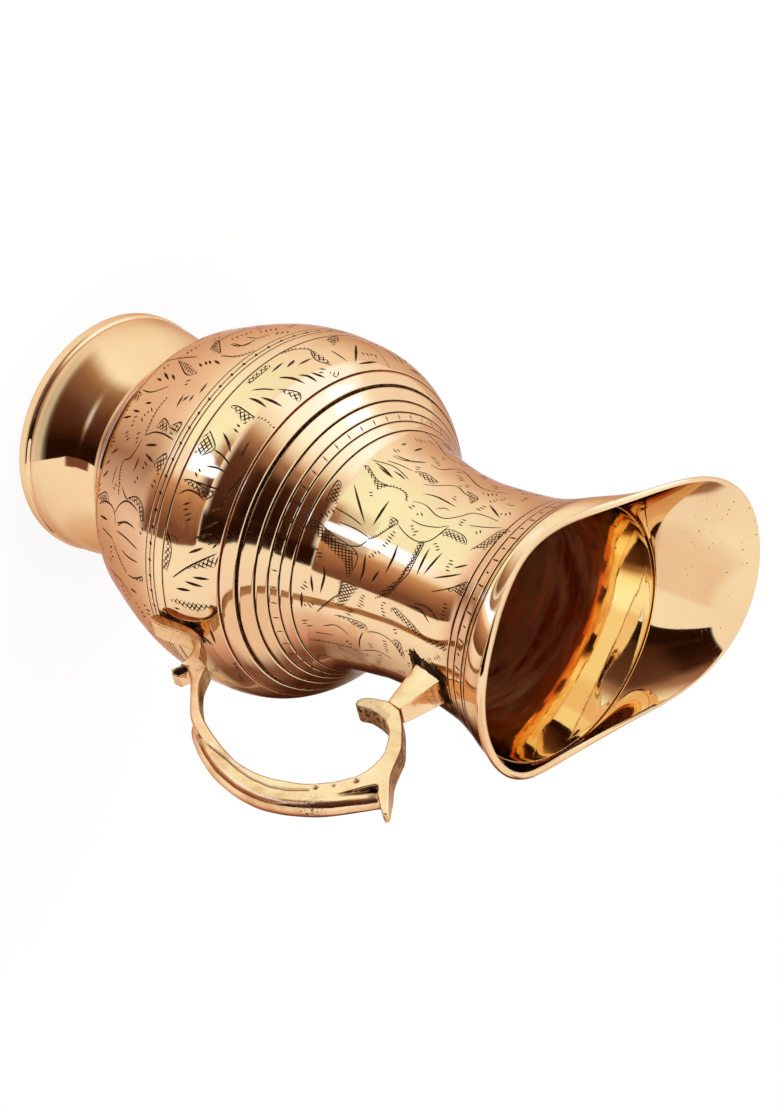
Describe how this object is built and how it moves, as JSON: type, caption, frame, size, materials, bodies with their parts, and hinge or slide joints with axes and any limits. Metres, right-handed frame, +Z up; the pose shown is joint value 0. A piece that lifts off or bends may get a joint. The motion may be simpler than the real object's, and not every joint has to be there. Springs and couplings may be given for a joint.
{
  "type": "brass water jug",
  "caption": "Turned and engraved brass water jug with a pedestal foot, round belly, waisted neck, oval spouted mouth and a cast scroll handle.",
  "frame": {"origin": "on the floor plane under the middle of the jug's bounding box; the turning axis is 20 mm towards the spout", "axes": "+Z up along the turning axis, +X towards the spout, the handle towards -X"},
  "size_m": [0.1956, 0.1378, 0.2588],
  "materials": {
    "body_brass": "polished",
    "cast_brass": "satin",
    "braze": "matt"
  },
  "bodies": {
    "root": {"foot": "body_brass", "lower_body": "body_brass", "upper_body": "body_brass", "mouth": "body_brass", "handle": "cast_brass", "handle_bracket": "cast_brass", "bracket_braze": "braze", "scroll_braze": "braze"}
  },
  "joints": []
}
